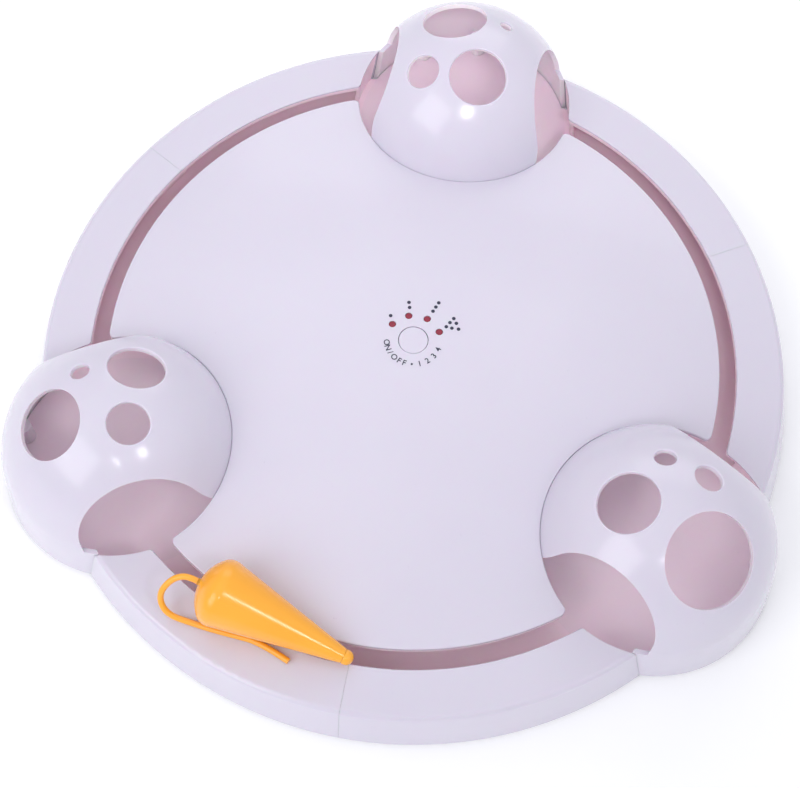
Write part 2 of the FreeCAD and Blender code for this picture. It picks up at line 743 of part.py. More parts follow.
def coil_path(base_radius, tip_radius, rise, turns):
    """A conical coil about Z that rises and narrows evenly, as two tangent arcs for each quarter turn."""
    def place(share):
        angle = 2 * math.pi * turns * share
        radius = base_radius + (tip_radius - base_radius) * share
        return V(radius * math.cos(angle), radius * math.sin(angle), rise * share)

    def heading(share):
        return (place(share + 1e-5) - place(share - 1e-5)).normalize()

    edges = []
    steps = round(4 * turns)
    for step in range(steps):
        start, end = place(step / steps), place((step + 1) / steps)
        leaving, arriving = heading(step / steps), heading((step + 1) / steps)
        span = end - start
        bend = 2 * (1 - leaving.dot(arriving))
        along = span.dot(leaving + arriving)
        reach = (math.sqrt(along ** 2 + bend * span.dot(span)) - along) / bend
        first_corner = start + leaving * reach
        second_corner = end - arriving * reach
        joint = (first_corner + second_corner) * 0.5
        edges.append(tangent_arc(start, first_corner, joint)[0])
        edges.append(tangent_arc(joint, second_corner, end)[0])
    return Part.Wire(edges), heading(0)


def contact_spring(row, side):
    """A conical coil spring at the flat end of a cell, its wide turn on the plate."""
    plate = bay_length / 2 - contact_wall
    cell_end = cell_length / 2 + 0.6
    rise = plate - cell_end - 2 * spring_wire
    path, direction = coil_path(spring_base_radius, spring_tip_radius, rise, spring_turns)
    section = Part.Wire([Part.Circle(V(spring_base_radius, 0, 0), direction, spring_wire).toShape()])
    coil = path.makePipeShell([section], True, False)
    coil.rotate(V(0, 0, 0), V(0, 1, 0), -90 * side)
    return moved(coil, side * (plate - spring_wire), cell_rows[row], cell_axis)


# Motor

def motor_can():
    body = face_of(
        [(0, motor_base), (motor_radius, motor_base), (motor_radius, motor_base + motor_length),
         (0, motor_base + motor_length)], {1: 1.2, 2: 1.0})
    top = motor_base + motor_length
    boss = cyl(motor_boss_radius, top - 0.1, top + motor_boss_height)
    can = fuse([spun(body), boss])
    can = can.cut(cyl(motor_shaft_radius + running, motor_base + 2.0, 60))
    return moved(can, *motor_place)


def motor_shaft():
    top = motor_base + motor_length + motor_shaft_length
    return cyl(motor_shaft_radius, motor_base + 2.2, top, motor_place)


def motor_bracket():
    """Plate that holds the motor down, screwed to two posts."""
    low = motor_base + motor_length + running
    high = low + bracket_wall
    ears = []
    for place in bracket_post_places:
        ears.append(cyl(gear_post_radius + 0.6, low, high, place))
    bar = box(-bracket_reach, bracket_reach, -5.0, 5.0, low, high)
    bar = moved(turned(bar, 15.0), *motor_place)
    plate = fuse([cyl(8.5, low, high, motor_place), bar, *ears])
    plate = plate.cut(cyl(motor_boss_radius + fit, 0, 60, motor_place))
    for place in bracket_post_places:
        plate = plate.cut(cyl(small_screw_radius + 0.2, 0, 60, place))
    return plate


def gear_plate():
    """Upper bearing plate of the gears, on four posts."""
    low, high = gear_plate_level, gear_plate_level + gear_plate_wall
    around = [(-20.0, -48.0), (33.0, -40.0), (25.0, -22.0), (-24.0, -22.0)]
    web = face_of(around, {}, False).extrude(V(0, 0, gear_plate_wall))
    nose = face_of([(-20.0, -48.0), (0.0, last_gear_place[1]), (33.0, -40.0)], {}, False)
    shapes = [moved(web, 0, 0, low), moved(nose.extrude(V(0, 0, gear_plate_wall)), 0, 0, low)]
    shapes += [cyl(gear_post_radius + 1.2, low, high, place) for place in gear_post_places]
    shapes += [cyl(gear_post_radius + 0.8, low, high, place) for place in (last_gear_place, middle_gear_place)]
    plate = fuse(shapes)
    plate = plate.cut(cyl(motor_boss_radius + 2.0, 0, 60, motor_place))
    for place in (middle_gear_place, last_gear_place):
        plate = plate.cut(cyl(axle_radius + screw_play, 0, 60, place))
    for place in gear_post_places:
        plate = plate.cut(cyl(small_screw_radius + 0.2, 0, 60, place))
    return plate


# Board, switch, button and lights

def circuit_board():
    board = box(
        -board_length / 2, board_length / 2, board_offset - board_width / 2, board_offset + board_width / 2,
        board_level, board_level + board_wall)
    for place in board_post_places:
        board = board.cut(cyl(small_screw_radius + 0.2, 0, 60, place))
    for place in light_places:
        for side in (-1, 1):
            board = board.cut(cyl(0.4, 0, 60, (place[0] + side * 1.27, place[1])))
    return board


board_top = board_level + board_wall
light_top = deck_top(light_ring_radius) - 0.1


def indicator_light(place):
    """A small round light on its two wires, with its lens in the deck's window."""
    base = light_top - light_length
    section = face_of(
        [(0, base), (0, light_top), (light_radius, light_top - 0.1), (light_radius, base)], {2: 0.4})
    lens = moved(spun(section), place[0], place[1], 0)
    collar = cyl(light_radius + 0.4, base, base + 1.0, place)
    wires = [
        box(place[0] + side * 1.27 - 0.25, place[0] + side * 1.27 + 0.25, place[1] - 0.25, place[1] + 0.25,
            board_level - 0.8, base + 0.2) for side in (-1, 1)
    ]
    return fuse([lens, collar, *wires])


plunger_top = board_top + switch_height + plunger_height
button_flange_top = deck_under(button_flange_radius) - button_flange_drop


def switch_body():
    half = switch_size / 2
    body = box(-half, half, -half, half, board_top, board_top + switch_height)
    return body.cut(cyl(plunger_radius + running, board_top + switch_height - 1.7, 60))


def switch_plunger():
    return cyl(plunger_radius, plunger_top - 1.9, plunger_top)


def button_cap():
    section = face_of(
        [(0, button_flange_top), (0, deck_top(0)), (button_radius, deck_top(button_radius)),
         (button_radius, button_flange_top)], {2: 0.5})
    flange = cyl(button_flange_radius, button_flange_top - button_flange_wall, button_flange_top)
    stem = cyl(2.4, plunger_top, button_flange_top)
    return fuse([spun(section), flange, stem])


def board_parts():
    """Controller, capacitor and connectors on the board's underside."""
    chip = box(-2.5, 2.5, 8.0, 14.0, board_level - 1.5, board_level)
    can = cyl(3.2, board_level - 5.6, board_level, (-12.0, -3.0))
    plug_a = box(9.0, 15.0, -11.0, -6.6, board_level - 5.0, board_level)
    plug_b = box(9.0, 15.0, 10.0, 14.4, board_level - 5.0, board_level)
    coil = cyl(2.6, board_level - 3.0, board_level, (-12.0, 13.0))
    return Part.makeCompound([chip, can, plug_a, plug_b, coil])


# Rotor

lug_end = rotor_radius + lug_length
arm_root = rotor_radius + fit + 0.2
arm_end = slot_radius + arm_end_margin
arm_screw_places = [(rotor_radius + 7.0, side * 7.0) for side in (-1, 1)]


def rotor_ring():
    """Internally toothed ring that glides round the core, with a lug for the arm."""
    blank = cyl(rotor_radius, ring_seat_height, ring_gear_top)
    lug = box(rotor_radius - 3, lug_end, -arm_root_width / 2, arm_root_width / 2, ring_seat_height,
              arm_base - running)
    blank = fuse([blank, turned(lug, arm_angle)])
    teeth = gear_outline(ring_teeth, gear_module, 1.25, 0.8, -backlash / 2)
    ring = blank.cut(moved(teeth.extrude(V(0, 0, ring_gear_face + 1)), 0, 0, ring_gear_base))
    ring = ring.cut(cyl(journal_radius + running, 0, 60))
    for x, y in arm_screw_places:
        ring = ring.cut(turned(cyl(screw_radius + screw_play, 0, 60, (x, y)), arm_angle))
    return ring


def rotor_arm():
    """Arm along +X, before it is turned to its place."""
    root, tip = arm_root_width / 2, arm_tip_width / 2
    plan = face_of(
        [(arm_root, -root), (lug_end + 4, -root), (arm_end, -tip), (arm_end, tip), (lug_end + 4, root),
         (arm_root, root)], {2: 3.0, 3: 3.0}, False)
    inner = face_of(
        [(arm_root + 1, -root + arm_rib), (lug_end + 4, -root + arm_rib), (arm_end - arm_rib, -tip + arm_rib),
         (arm_end - arm_rib, tip - arm_rib), (lug_end + 4, root - arm_rib), (arm_root + 1, root - arm_rib)],
        {}, False)
    arm = moved(plan.extrude(V(0, 0, arm_top - arm_base)), 0, 0, arm_base)
    arm = arm.cut(moved(inner.extrude(V(0, 0, arm_top - arm_plate - arm_base + 1)), 0, 0, arm_base - 1))
    shapes = [arm]
    for place in arm_screw_places:
        shapes.append(cyl(post_radius, arm_base, arm_top, place))
    shapes.append(box(lug_end + 4, wheel_reach - wheel_width, -1, 1, ring_seat_height + 0.6, arm_top - 0.5))
    cheek = wheel_width / 2 + 0.4
    for side in (-1, 1):
        x0 = wheel_reach + side * cheek
        x1 = wheel_reach + side * (cheek + arm_rib)
        shapes.append(box(min(x0, x1), max(x0, x1), -3, 3, floor_top + 3.0, arm_top - 0.5))
    shapes.append(cyl(peg_post_radius, arm_base, peg_post_top, (slot_radius, 0)))
    arm = fuse(shapes)
    arm = arm.cut(box(wheel_reach - cheek, wheel_reach + cheek, -wheel_radius - 0.8, wheel_radius + 0.8, 0, 60))
    axle = Part.makeCylinder(
        axle_radius + screw_play, 40, V(wheel_reach - 20, 0, wheel_axis_height), V(1, 0, 0))
    limit = box(wheel_reach - cheek - arm_rib - 0.1, wheel_reach + cheek + arm_rib + 0.1, -10, 10, 0, 60)
    arm = arm.cut(axle.common(limit))
    for place in arm_screw_places:
        arm = arm.cut(cyl(screw_radius + 0.2, 0, 60, place))
    return arm.cut(cyl(peg_radius + screw_play, arm_base + 1.5, 60, (slot_radius, 0)))


wheel_axis_height = floor_top + running + wheel_radius


def arm_wheel():
    wheel = Part.makeCylinder(
        wheel_radius - wheel_tyre, wheel_width, V(wheel_reach - wheel_width / 2, 0, wheel_axis_height), V(1, 0, 0))
    bore = Part.makeCylinder(axle_radius + running, 40, V(wheel_reach - 20, 0, wheel_axis_height), V(1, 0, 0))
    return wheel.cut(bore)


def arm_wheel_tyre():
    start = V(wheel_reach - wheel_width / 2, 0, wheel_axis_height)
    outer = Part.makeCylinder(wheel_radius, wheel_width, start, V(1, 0, 0))
    return outer.cut(Part.makeCylinder(wheel_radius - wheel_tyre, wheel_width, start, V(1, 0, 0)))


def arm_wheel_axle():
    half = wheel_width / 2 + 0.4 + arm_rib
    return Part.makeCylinder(axle_radius, 2 * half, V(wheel_reach - half, 0, wheel_axis_height), V(1, 0, 0))


def mouse_peg():
    shaft = cyl(peg_radius, arm_base + 1.6, peg_top, (slot_radius, 0))
    top_edge = [e for e in shaft.Edges if e.Closed and abs(e.BoundBox.ZMin - peg_top) < 1e-6]
    return shaft.makeFillet(0.8, top_edge)


# Mouse

mouse_slope = math.radians(mouse_taper)
mouse_base_height = deck_edge_height + mouse_clearance + mouse_radius * math.cos(mouse_slope)
mouse_base = V(*polar(mouse_rear_reach, mouse_rear_angle), mouse_base_height)
mouse_level = V(*polar(mouse_nose_reach, mouse_nose_angle), mouse_base_height) - mouse_base
mouse_length = mouse_level.Length / math.cos(mouse_slope)
mouse_tip_reach = mouse_length - nose_neck
mouse_tip_radius = mouse_radius - mouse_tip_reach * math.sin(mouse_slope)
mouse_axis = (mouse_level - V(0, 0, mouse_length * math.sin(mouse_slope))).normalize()


def placed_on_mouse(shape):
    """A shape drawn along +Z from the cone's base, laid along the mouse."""
    out = shape.copy()
    out.Placement = FreeCAD.Placement(mouse_base, FreeCAD.Rotation(UP, mouse_axis)).multiply(out.Placement)
    return out


def mouse_form(skin):
    """The mouse's outer form, taken in by a skin thickness."""
    radius = mouse_radius - skin
    tip = mouse_tip_radius - skin
    rear = -mouse_rear + skin
    reach = mouse_tip_reach - skin
    rear_ball = (radius ** 2 + rear ** 2) / (2 * -rear)
    half = math.asin(radius / rear_ball) / 2
    edges = [
        Part.Arc(V(0, 0, rear), V(rear_ball * math.sin(half), 0, rear + rear_ball * (1 - math.cos(half))),
                 V(radius, 0, 0)).toShape(),
        Part.LineSegment(V(radius, 0, 0), V(tip, 0, reach)).toShape(),
        Part.LineSegment(V(tip, 0, reach), V(0, 0, reach)).toShape(),
        Part.LineSegment(V(0, 0, reach), V(0, 0, rear)).toShape(),
    ]
    solid = spun(Part.Face(Part.Wire(edges)))
    rear_edge = [e for e in solid.Edges if e.Closed and abs(e.BoundBox.ZMax) < 1e-3 and e.BoundBox.XMax > radius - 1]
    solid = solid.makeFillet(mouse_edge - skin / 2, rear_edge[:1])
    tip_edge = [e for e in solid.Edges if e.Closed and abs(e.BoundBox.ZMin - reach) < 1e-3]
    return solid.makeFillet(mouse_tip_edge, tip_edge[:1])


def mouse_body():
    outside = mouse_form(0.0)
    nose = Part.makeSphere(nose_radius, V(0, 0, mouse_length))
    root = cyl(tail_diameter / 2 + 0.2, -mouse_rear - tail_root_length, -mouse_rear + 1.5)
    inside = placed_on_mouse(mouse_form(mouse_wall))
    body = placed_on_mouse(fuse([outside, nose, root]))
    x, y = polar(slot_radius, arm_angle)
    socket = cyl(peg_radius + socket_wall, deck_edge_height, 60, (x, y)).common(inside)
    shell = fuse([body.cut(inside), socket])
    return shell.cut(cyl(peg_radius + screw_play, 0, peg_top + 0.4, (x, y)))


# Tail

tail_level = rim_height + tail_rest + tail_diameter / 2
tail_start = mouse_base - mouse_axis * (mouse_rear + tail_root_length)
tail_points = [
    tail_start,
    tail_start - mouse_axis * 4.3,
    V(-79.6, -137.0, 45.6),
    V(-83.4, -138.8, 43.4),
    V(-87.0, -142.7, 39.8),
    V(-87.6, -146.0, 35.6),
    V(-85.5, -149.3, 31.8),
    V(-81.2, -151.1, tail_level + 1.5),
    V(-73.7, -151.8, tail_level),
    V(-65.0, -153.0, tail_level),
    V(-54.6, -153.9, tail_level),
    V(-40.6, -154.8, tail_level),
    V(-26.4, -161.0, tail_level),
]


def cord_path(points):
    """Straight runs joined by tangent arcs, each as large as its two runs allow, and the arcs' radii."""
    edges, radii = [], []
    here = points[0]
    for i in range(1, len(points) - 1):
        back = points[i - 1] - points[i]
        ahead = points[i + 1] - points[i]
        reach = 0.45 * min(back.Length, ahead.Length)
        start = points[i] + back.normalize() * reach
        end = points[i] + ahead.normalize() * reach
        arc, radius = tangent_arc(start, points[i], end)
        edges.append(Part.LineSegment(here, start).toShape())
        edges.append(arc)
        radii.append(radius)
        here = end
    edges.append(Part.LineSegment(here, points[-1]).toShape())
    return Part.Wire(edges), radii


def cord_tube(points, diameter):
    path, radii = cord_path(points)
    direction = (points[1] - points[0]).normalize()
    section = Part.Wire([Part.Circle(points[0], direction, diameter / 2).toShape()])
    solid = path.makePipeShell([section], True, False)
    section_area = math.pi * diameter ** 2 / 4
    print("cord length %.1f, volume %.1f against %.1f" % (path.Length, solid.Volume, section_area * path.Length))
    print("cord radii", [round(r, 1) for r in radii])
    return solid


# Screws

def flush_screw(place):
    """Countersunk screw from below, in the floor."""
    head = cone(screw_head_radius, screw_radius, floor_gap, floor_gap + screw_head_height, place)
    shank = cyl(screw_radius, floor_gap + screw_head_height - 0.1, floor_gap + short_screw_length, place)
    slot = box(place[0] - 2, place[0] + 2, place[1] - 0.35, place[1] + 0.35, 0, floor_gap + 0.8)
    return fuse([head, shank]).cut(slot)


def pan_screw(place, seat, length, radius, head_radius, head_height, up):
    """Round-headed screw with its head under the seat when it points up, or on it when it points down."""
    sign = 1 if up else -1
    shank = cyl(radius, min(seat, seat + sign * length), max(seat, seat + sign * length), place)
    head_end = seat - sign * head_height
    head = cyl(head_radius, min(seat, head_end), max(seat, head_end), place)
    slot_end = head_end + sign * 0.6
    slot = box(place[0] - head_radius, place[0] + head_radius, place[1] - 0.3, place[1] + 0.3,
               min(head_end, slot_end), max(head_end, slot_end))
    return fuse([shank, head]).cut(slot)


def foot_pads():
    pads = [cyl(middle_foot_radius, 0, floor_gap)]
    for angle in dome_angles.values():
        for turn, reach in ((0.0, 186.0), (-48.0, 172.0), (48.0, 172.0)):
            pads.append(cyl(foot_pad_radius, 0, floor_gap, polar(reach, angle + turn)))
        pads.append(cyl(foot_pad_radius, 0, floor_gap, polar(core_radius - 11.0, angle + 60.0)))
    return Part.makeCompound(pads)


def build():
    os.makedirs("parts", exist_ok=True)
    sector = ring_sector()
    for name, angle in dome_angles.items():
        save("ring_sector_" + name, turned(sector, angle))
        save("dome_" + name, turned(hiding_dome(dome_holes[name]), angle))
    save("play_deck", play_deck())
    save("core_tray", core_tray())
    save("battery_door", battery_door())
    for row in range(cell_count):
        save("battery_cell_%d" % (row + 1), battery_cell(row))
    flat_sides = [1 if row % 2 else -1 for row in range(cell_count)]
    save("contact_plates", Part.makeCompound(
        [contact_plate(row, side) for row in range(cell_count) for side in (-1, 1)]))
    save("contact_springs", Part.makeCompound(
        [contact_spring(row, side) for row, side in enumerate(flat_sides)]))
    save("motor_can", motor_can())
    save("motor_shaft", motor_shaft())
    save("motor_pinion", motor_pinion())
    save("motor_bracket", motor_bracket())
    save("gear_a", gear_a())
    save("gear_b", gear_b())
    save("gear_axle_a", cyl(axle_radius, floor_top + 0.1, gear_plate_level + gear_plate_wall, middle_gear_place))
    save("gear_axle_b", cyl(axle_radius, floor_top + 0.1, gear_plate_level + gear_plate_wall, last_gear_place))
    save("gear_plate", gear_plate())
    save("circuit_board", circuit_board())
    save("board_parts", board_parts())
    for k, place in enumerate(light_places):
        save("indicator_light_%d" % (k + 1), indicator_light(place))
    save("switch_body", switch_body())
    save("switch_plunger", switch_plunger())
    save("button_cap", button_cap())
    save("rotor_ring", rotor_ring())
    save("rotor_arm", turned(rotor_arm(), arm_angle))
    save("arm_wheel", turned(arm_wheel(), arm_angle))
    save("arm_wheel_tyre", turned(arm_wheel_tyre(), arm_angle))
    save("arm_wheel_axle", turned(arm_wheel_axle(), arm_angle))
    save("mouse_peg", turned(mouse_peg(), arm_angle))
    save("mouse_body", mouse_body())
    save("mouse_tail", cord_tube(tail_points, tail_diameter))
    save("foot_pads", foot_pads())
    save("sector_screws", Part.makeCompound(
        [turned(flush_screw(place), angle) for angle in dome_angles.values() for place in tongue_places]))
    save("dome_screws", Part.makeCompound(
        [turned(flush_screw(place), angle) for angle in dome_angles.values() for place in dome_post_places]))
    save("deck_screws", Part.makeCompound([
        pan_screw(place, deck_screw_level, deck_screw_length, screw_radius, screw_head_radius, screw_head_height,
                  True) for place in deck_post_places]))
    save("board_screws", Part.makeCompound([
        pan_screw(place, board_level, 5.5, small_screw_radius, small_head_radius, small_head_height, True)
        for place in board_post_places]))
    bracket_top = motor_base + motor_length + running + bracket_wall
    save("motor_bracket_screws", Part.makeCompound([
        pan_screw(place, bracket_top, 7.0, small_screw_radius, small_head_radius, small_head_height, False)
        for place in bracket_post_places]))
    save("gear_plate_screws", Part.makeCompound([
        pan_screw(place, gear_plate_level + gear_plate_wall, 8.0, small_screw_radius, small_head_radius,
                  small_head_height, False) for place in gear_post_places]))
    arm_screws = Part.makeCompound([
        pan_screw(place, arm_top, 7.4, screw_radius, screw_head_radius, screw_head_height, False)
        for place in arm_screw_places])
    save("arm_screws", turned(arm_screws, arm_angle))


build()
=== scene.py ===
# %% [markdown]
# # An automatic cat toy, dressed in Blender
# The toy is a round base with three hiding domes, a crowned play deck inside a slot, a button with four small
# lights, and an orange mouse that a hidden arm carries round the slot. The solids come from the imported frame, in
# metres, and this lesson gives them their finish, their soft edges, the mouse's tail, the printed marks, a camera
# and light.

# %% Load the frame
import bpy
import json
import math
from mathutils import Matrix, Vector


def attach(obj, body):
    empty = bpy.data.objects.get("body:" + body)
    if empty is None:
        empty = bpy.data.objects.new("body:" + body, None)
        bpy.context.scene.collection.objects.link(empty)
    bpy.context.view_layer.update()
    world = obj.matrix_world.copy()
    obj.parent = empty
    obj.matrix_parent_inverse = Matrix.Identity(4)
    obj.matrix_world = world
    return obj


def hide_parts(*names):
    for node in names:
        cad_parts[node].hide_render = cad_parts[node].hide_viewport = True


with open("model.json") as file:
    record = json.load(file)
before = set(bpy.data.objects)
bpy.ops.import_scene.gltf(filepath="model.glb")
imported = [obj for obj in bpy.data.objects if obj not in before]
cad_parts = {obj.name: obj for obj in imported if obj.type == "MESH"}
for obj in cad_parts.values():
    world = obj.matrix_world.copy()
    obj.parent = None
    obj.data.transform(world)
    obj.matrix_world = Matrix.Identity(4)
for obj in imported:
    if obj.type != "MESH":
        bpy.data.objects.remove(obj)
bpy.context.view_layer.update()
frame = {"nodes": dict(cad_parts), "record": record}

# %% [markdown]
# ## The camera
# The photograph was taken from above and in front, with the far dome near the top edge. A camera is three numbers
# for its place, then a heading, a tilt and a small roll, and a focal length. They were worked out by matching the
# toy's circles, so that the deck's edge, the slot and the domes land where the photograph shows them.

# %% Camera
photo_width_px = 800
focal_px = 1485.8
sensor_mm = 36.0
camera_place = Vector((0.0497, -0.3075, 0.6762))
heading, tilt, roll = math.radians(10.326), math.radians(23.893), math.radians(0.332)

lens = bpy.data.cameras.new("photo_camera")
lens.sensor_fit = "HORIZONTAL"
lens.sensor_width = sensor_mm
lens.lens = focal_px * sensor_mm / photo_width_px
camera = bpy.data.objects.new("photo_camera", lens)
bpy.context.scene.collection.objects.link(camera)
turn = Matrix.Rotation(heading, 4, "Z") @ Matrix.Rotation(tilt, 4, "X") @ Matrix.Rotation(roll, 4, "Z")
camera.matrix_world = Matrix.Translation(camera_place) @ turn
bpy.context.scene.camera = camera
print("focal length", round(lens.lens, 2), "mm")

# %% [markdown]
# ## Shader maths as Python
# A procedural finish is mostly arithmetic on patterns: more of this where that is high. Wiring each Math node by
# hand hides the idea, so one small class wraps a socket and lets Python's own operators add the nodes. Every other
# node comes from one method that takes its type, its settings and what goes into its sockets.

# %% A wrapped socket
class Signal:
    """One output of a node, on which arithmetic adds Math nodes."""

    def __init__(self, finish, socket):
        self.finish = finish
        self.socket = socket

    def maths(self, operation, first, second):
        node = self.finish.node("ShaderNodeMath", {"operation": operation}, {0: first, 1: second})
        return Signal(self.finish, node.outputs[0])

    def __add__(self, other):
        return self.maths("ADD", self, other)

    def __sub__(self, other):
        return self.maths("SUBTRACT", self, other)

    def __mul__(self, other):
        return self.maths("MULTIPLY", self, other)

    def __pow__(self, other):
        return self.maths("POWER", self, other)

    def under(self, limit):
        return self.maths("LESS_THAN", self, limit)

    def over(self, limit):
        return self.maths("GREATER_THAN", self, limit)

    def clamped(self):
        return self.maths("MAXIMUM", self.maths("MINIMUM", self, 1.0), 0.0)


# %% [markdown]
# ## A finish
# Every material here is one main shader with a few patterns wired into it. This class makes the shader, gives the
# piece's own coordinates, and holds the few helpers that the finishes below share.

# %% A finish being built
class Finish:
    """A material with its main shader, and helpers for patterns on the piece's own coordinates."""

    def __init__(self, name, rough, coat=0.0, metal=0.0):
        self.material = bpy.data.materials.new(name)
        self.material.use_nodes = True
        self.tree = self.material.node_tree
        self.main = self.tree.nodes["Principled BSDF"]
        self.main.inputs["Roughness"].default_value = rough
        self.main.inputs["Metallic"].default_value = metal
        self.main.inputs["Coat Weight"].default_value = coat
        self.place = self.node("ShaderNodeTexCoord").outputs["Object"]

    def node(self, kind, settings=None, sockets=None):
        made = self.tree.nodes.new(kind)
        for key, value in (settings or {}).items():
            if key == "stops":
                self.set_stops(made.color_ramp, value)
            else:
                setattr(made, key, value)
        for key, value in (sockets or {}).items():
            if isinstance(value, Signal):
                value = value.socket
            if isinstance(value, bpy.types.NodeSocket):
                self.tree.links.new(value, made.inputs[key])
            else:
                made.inputs[key].default_value = value
        return made

    def set_stops(self, ramp, stops):
        while len(ramp.elements) < len(stops):
            ramp.elements.new(0.5)
        for element, (position, colour) in zip(ramp.elements, stops):
            element.position = position
            element.color = (*colour, 1.0)

    def clouds(self, size, detail=3.0, roughness=0.5):
        """Soft noise whose blobs are about size metres wide."""
        noise = self.node("ShaderNodeTexNoise", {}, {
            "Vector": self.place, "Scale": 1.0 / size, "Detail": detail, "Roughness": roughness})
        return Signal(self, noise.outputs[0])

    def parts_of_place(self):
        split = self.node("ShaderNodeSeparateXYZ", {}, {0: self.place})
        return [Signal(self, out) for out in split.outputs]

    def mixed(self, share, first, second):
        """Colours first and second, blended by a signal."""
        mix = self.node("ShaderNodeMix", {"data_type": "RGBA"}, {0: share, 6: first, 7: second})
        return mix.outputs[2]

    def colour(self, value):
        self.tree.links.new(value, self.main.inputs["Base Color"])

    def rough(self, value):
        self.tree.links.new(value.socket, self.main.inputs["Roughness"])

    def bump(self, height, depth, strength=1.0):
        node = self.node("ShaderNodeBump", {}, {"Height": height, "Distance": depth, "Strength": strength})
        self.tree.links.new(node.outputs[0], self.main.inputs["Normal"])


def rgba(red, green, blue):
    """A colour from the 0 to 255 values that a picture shows, as the linear values that light works in."""
    linear = [((c / 255 + 0.055) / 1.055) ** 2.4 if c > 10 else c / 255 / 12.92 for c in (red, green, blue)]
    return (*linear, 1.0)


# %% [markdown]
# ## The pale glossy plastic
# The base, the domes and the deck are one family of pale lilac plastic, moulded with polished tools. Real moulded
# plastic is never one flat colour: the tone drifts a little across a large part, the gloss has faint cloudy areas
# from the flow, and the face has a barely visible ripple. Inside, where the tool is not polished, the same plastic
# is duller, and its colour is painted lighter and pinker: a painted glow for light that passes through the thin
# walls into the shaded inside. The inside is found from the faces' own direction and place.
#
# The walls and floor seen through the slot look pink in the photograph, as if light had passed through the plastic.
# A faint glow in the material stands in for that light. It is a level set by comparison, not a measured property.

# %% Shell plastic
lilac_light = rgba(218, 213, 227)
lilac_deep = rgba(210, 204, 220)
# The three inside tones below are painted glow: lighter and pinker than the plastic, for light passing through the
# thin walls.
dome_inside_painted_glow = rgba(226, 218, 228)
pink_inside_painted_glow = rgba(252, 229, 240)
far_dome_inside_painted_glow = rgba(253, 244, 252)
passed_light = (0.04, 0.016, 0.019, 1.0)
rim_underside = 0.0245         # height under which a face of the ring is inside it
ring_underside = 0.002         # height under which a face belongs to the ring's own bottom
ring_wall_inside = 0.1765      # inner radius of the ring's outer wall
dome_foot_inside = 0.0552      # inner radius of a dome's foot
deck_lip = 0.0252              # height under which the deck's skirt starts


def shell_plastic(name, inside=None, painted_glow_tone=None, glow=None):
    finish = Finish(name, 0.2, coat=0.25)
    finish.main.inputs["Subsurface Weight"].default_value = 0.5
    finish.main.inputs["Subsurface Radius"].default_value = (1.0, 0.55, 0.8)
    finish.main.inputs["Subsurface Scale"].default_value = 0.0015
    drift = finish.clouds(0.09, 2.0)
    flow = finish.clouds(0.022, 4.0, 0.6)
    specks = (finish.clouds(0.0016, 2.0) - 0.72).clamped() * 3.0
    tone = finish.mixed(drift, lilac_light, lilac_deep)
    rough = flow * 0.12 + 0.16
    if inside:
        hidden = inside(finish)
        # Painted glow: the inside faces take a lighter, pinker tone in place of their shade.
        tone = finish.mixed(hidden, tone, painted_glow_tone)
        rough = rough + hidden * 0.2
    finish.colour(finish.mixed(specks.clamped(), tone, rgba(190, 182, 200)))
    finish.rough(rough)
    if glow:
        finish.main.inputs["Emission Strength"].default_value = 1.0
        passed = finish.mixed(glow(finish), (0.0, 0.0, 0.0, 1.0), passed_light)
        finish.tree.links.new(passed, finish.main.inputs["Emission Color"])
    finish.bump(finish.clouds(0.004, 2.0), 0.00002, 0.25)
    return finish.material


# Marks where a dome's inside takes its painted glow.
def within_dome(centre):
    """The dome's inside: faces that look towards the middle of its ball."""
    def mask(finish):
        outward = finish.node(
            "ShaderNodeVectorMath", {"operation": "SUBTRACT"}, {0: finish.place, 1: centre}).outputs[0]
        facing = finish.node("ShaderNodeVectorMath", {"operation": "DOT_PRODUCT"}, {
            0: outward, 1: finish.node("ShaderNodeTexCoord").outputs["Normal"]}).outputs["Value"]
        return Signal(finish, facing).under(0.0)
    return mask


def ring_places(finish, centre):
    """The height of a point, and its distances from the toy's middle and from the dome's axis."""
    x, y, z = finish.parts_of_place()
    reach = (x * x + y * y) ** 0.5
    from_dome = ((x - centre.x) ** 2.0 + (y - centre.y) ** 2.0) ** 0.5
    return z, reach, from_dome


# Marks where the ring's inside, the pockets under the domes too, takes a pink painted glow in place of its shade.
def within_ring(centre):
    """The ring's inside: whatever lies under the rim's face, inside its outer wall or inside its dome's foot."""
    def mask(finish):
        z, reach, from_dome = ring_places(finish, centre)
        within = z.under(rim_underside) * z.over(ring_underside)
        return within * (reach.under(ring_wall_inside) + from_dome.under(dome_foot_inside)).clamped()
    return mask


def beside_slot(centre):
    """The walls and floor seen through the slot, where light that has passed through the pale plastic shows pink."""
    def mask(finish):
        z, reach, from_dome = ring_places(finish, centre)
        within = z.under(rim_underside) * z.over(ring_underside)
        return within * reach.under(ring_wall_inside) * from_dome.over(dome_foot_inside)
    return mask


# Marks where the deck's skirt and underside take the same pink painted glow.
def under_deck(finish):
    """The deck's skirt and underside, below its rounded lip."""
    return finish.parts_of_place()[2].under(deck_lip)


# %% [markdown]
# ## The other finishes
# Each of these is small on the toy, but is still built from what the real material shows: satin grain on the core's
# unpolished plastic, turning rings on steel, drawing marks on the motor's can, dust on rubber.

# %% Satin plastics and rubbers
def satin_plastic(name, light, deep, grain=0.0006):
    finish = Finish(name, 0.42)
    finish.colour(finish.mixed(finish.clouds(0.03, 3.0), light, deep))
    finish.rough(finish.clouds(0.008, 3.0) * 0.16 + 0.36)
    finish.bump(finish.clouds(grain, 2.0), 0.00003, 0.5)
    return finish.material


def soft_rubber(name, light, deep):
    finish = Finish(name, 0.75)
    dust = (finish.clouds(0.0022, 4.0, 0.7) * 1.6 - 0.5).clamped()
    finish.colour(finish.mixed(dust, deep, light))
    finish.rough(dust * 0.15 + 0.7)
    finish.bump(finish.clouds(0.0009, 3.0), 0.00005, 0.6)
    return finish.material


# %% [markdown]
# ## Metals
# Steel, nickel and brass share one recipe: noise stretched along the upright axis reads as fine turning rings.

